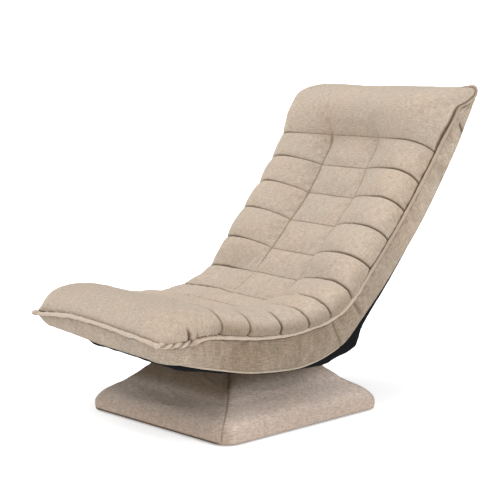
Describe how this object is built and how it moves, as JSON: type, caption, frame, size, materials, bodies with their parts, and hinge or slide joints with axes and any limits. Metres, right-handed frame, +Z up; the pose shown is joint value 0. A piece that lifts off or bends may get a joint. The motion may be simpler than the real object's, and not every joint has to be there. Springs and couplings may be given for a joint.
{
  "type": "moon chair",
  "caption": "Padded floor lounge chair with a quilted reclining cushion and headrest roll, turning on a flared square fabric-covered base.",
  "frame": {"origin": "on the floor under the swivel axis, at the centre of the middle rubber pad", "axes": "+Z up along the swivel axis, the seat faces -Y, +X across the chair to the sitter's left"},
  "size_m": [0.568, 0.818, 0.7082],
  "materials": {
    "cover_fabric": "matte",
    "black_cloth": "matte",
    "webbing": "matte",
    "foam": "matte",
    "board": "matte",
    "rubber": "matte",
    "plastic": "matte",
    "painted_steel": "satin",
    "zinc_steel": "satin"
  },
  "bodies": {
    "base": {"base_cover": "cover_fabric", "base_padding": "foam", "base_board": "board", "base_bottom_cloth": "black_cloth", "base_pads": "rubber", "pad_screws": "zinc_steel", "base_legs": "painted_steel", "base_top_plate": "painted_steel", "swivel_lower_plate": "zinc_steel", "swivel_balls": "zinc_steel", "ball_cage": "plastic", "swivel_rivet": "zinc_steel", "base_bolts": "zinc_steel", "base_nuts": "zinc_steel"},
    "seat": {"swivel_upper_plate": "zinc_steel", "seat_bolts": "zinc_steel", "seat_nuts": "zinc_steel", "mounting_bars": "painted_steel", "seat_frame": "painted_steel", "seat_webbing": "webbing", "seat_foam": "foam", "front_roll_foam": "foam", "seat_quilt": "cover_fabric", "front_roll_cover": "cover_fabric", "front_band": "cover_fabric", "seat_boxing_left": "cover_fabric", "seat_boxing_right": "cover_fabric", "seat_piping": "cover_fabric", "seat_underside": "black_cloth", "seat_hinge_plate_left": "zinc_steel", "seat_hinge_plate_right": "zinc_steel", "ratchet_wheels": "zinc_steel", "hinge_pins": "zinc_steel", "hinge_caps": "plastic", "crease_foam": "foam", "crease_quilt": "cover_fabric", "crease_boxing": "cover_fabric", "crease_piping": "cover_fabric", "hinge_shroud": "black_cloth"},
    "back": {"back_frame": "painted_steel", "back_webbing": "webbing", "back_foam": "foam", "headrest_foam": "foam", "back_quilt": "cover_fabric", "headrest_cover": "cover_fabric", "head_band": "cover_fabric", "back_boxing_left": "cover_fabric", "back_boxing_right": "cover_fabric", "back_piping": "cover_fabric", "back_underside": "black_cloth", "back_hinge_plate_left": "zinc_steel", "back_hinge_plate_right": "zinc_steel", "pawls": "zinc_steel", "pawl_springs": "zinc_steel", "zip_tape": "webbing"},
    "zip_slider": {"zip_slider": "zinc_steel"}
  },
  "joints": [
    {"name": "swivel", "type": "hinge", "parent": "base", "child": "seat", "pos_m": [0, 0, 0.129], "axis": [0, 0, 1], "continuous": true},
    {"name": "recline", "type": "hinge", "parent": "seat", "child": "back", "pos_m": [0, 0.125, 0.192], "axis": [1, 0, 0], "range_deg": [-54, 36], "deforming": ["crease_foam", "crease_quilt", "crease_boxing", "crease_piping", "hinge_shroud"]},
    {"name": "zip", "type": "slide", "parent": "back", "child": "zip_slider", "axis": [1, 0, 0], "range_m": [0, 0.37]}
  ]
}
